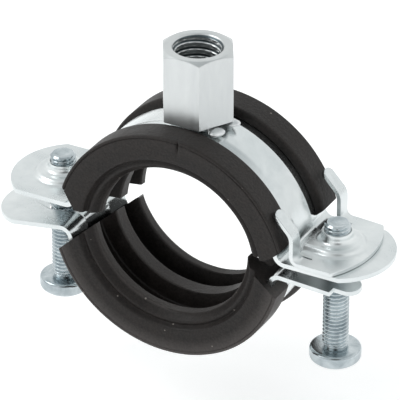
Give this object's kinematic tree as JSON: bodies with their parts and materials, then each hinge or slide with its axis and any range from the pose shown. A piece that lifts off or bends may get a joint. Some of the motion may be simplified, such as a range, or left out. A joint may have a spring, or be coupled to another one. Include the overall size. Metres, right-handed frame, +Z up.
{
  "type": "pipe repair clamp",
  "caption": "Split pipe clamp with rubber-lined ribbed halves, captive screws, a hooked quick-closing plate and a welded connecting nut.",
  "frame": {"origin": "on the pipe axis, midway along the clamp's width and midway between the two halves' ring centres", "axes": "+Y along the pipe; +Z up through the connecting nut, the way the threaded rod leaves; +X across the flanges towards the hooked plate"},
  "size_m": [0.0828, 0.0232, 0.0611],
  "materials": {
    "band_steel": "bright zinc plate, satin",
    "nut_steel": "bright zinc plate, drawn flats",
    "weld_steel": "dull weld metal under zinc plate",
    "screw_steel": "bright zinc plate, rolled thread",
    "lining_rubber": "matt black extruded rubber"
  },
  "bodies": {
    "upper_half": {"upper_band": "band_steel", "connecting_nut": "nut_steel", "nut_weld": "weld_steel", "upper_lining": "lining_rubber"},
    "lower_half": {"lower_band": "band_steel", "lower_lining": "lining_rubber"},
    "left_screw": {"left_screw": "screw_steel"},
    "hooked_plate": {"claw_plate": "band_steel"},
    "right_screw": {"right_screw": "screw_steel"}
  },
  "joints": [
    {"name": "lower_half_slide", "type": "slide", "parent": "upper_half", "child": "lower_half", "axis": [0, 0, 1], "range_m": [-0.0115, 0.0008]},
    {"name": "left_screw_travel", "type": "slide", "parent": "upper_half", "child": "left_screw", "axis": [0, 0, 1], "range_m": [-0.004, 0.012]},
    {"name": "hooked_plate_lift", "type": "slide", "parent": "upper_half", "child": "hooked_plate", "axis": [0, 0, 1], "range_m": [0, 0.003]},
    {"name": "right_screw_travel", "type": "slide", "parent": "hooked_plate", "child": "right_screw", "axis": [0, 0, 1], "range_m": [-0.004, 0.012]}
  ]
}
